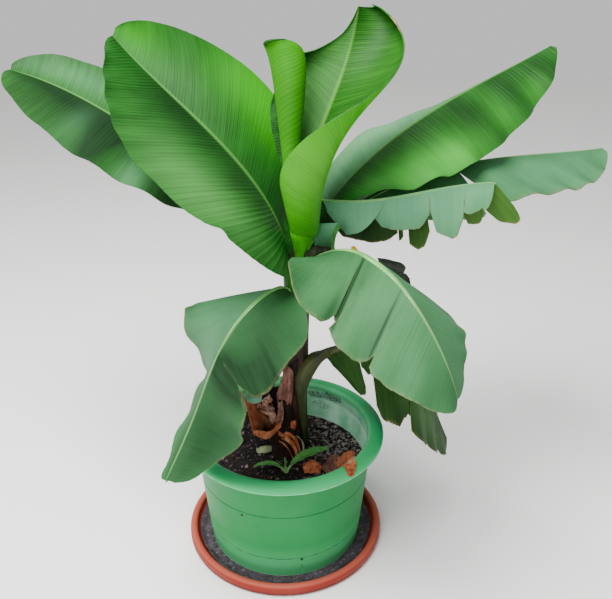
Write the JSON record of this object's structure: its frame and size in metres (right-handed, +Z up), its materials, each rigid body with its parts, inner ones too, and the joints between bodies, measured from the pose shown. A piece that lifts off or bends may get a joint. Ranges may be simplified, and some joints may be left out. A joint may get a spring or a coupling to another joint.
{
  "type": "banana plant",
  "caption": "Potted banana plant with broad arching leaves on a short leaning stem, in a round green plastic pot with a thick rim, standing on a shallow saucer.",
  "frame": {"origin": "centre of the saucer's flat underside, on the level floor", "axes": "+Z up, -Y towards the side that the picture shows, +X to the right as seen from there"},
  "size_m": [1.219, 0.6629, 1.042],
  "materials": {
    "terracotta_plastic": "satin, faded and soiled inside",
    "green_plastic": "semi-gloss moulded plastic with scuffs",
    "potting_soil": "loose and damp",
    "stem_sheath": "fibrous, satin",
    "leaf_mid": "waxy, ridged by its veins",
    "leaf_bright": "waxy, ridged by its veins",
    "leaf_young": "waxy and smooth",
    "leaf_dusty": "dull grey bloom over green",
    "leaf_old": "dull, olive underside",
    "dry_leaf": "dry and papery"
  },
  "bodies": {
    "root": {"saucer": "terracotta_plastic", "pot": "green_plastic", "soil": "potting_soil", "stem": "stem_sheath", "leaf_1": "leaf_mid", "leaf_2": "leaf_bright", "leaf_3": "leaf_young", "leaf_4": "leaf_mid", "leaf_5": "leaf_dusty", "leaf_6": "leaf_dusty", "leaf_7": "leaf_dusty", "leaf_8": "leaf_dusty", "leaf_9": "leaf_old", "sucker": "leaf_bright", "dry_sheath": "dry_leaf", "dry_scrap_left": "dry_leaf", "dry_scrap_right": "dry_leaf"}
  },
  "joints": []
}
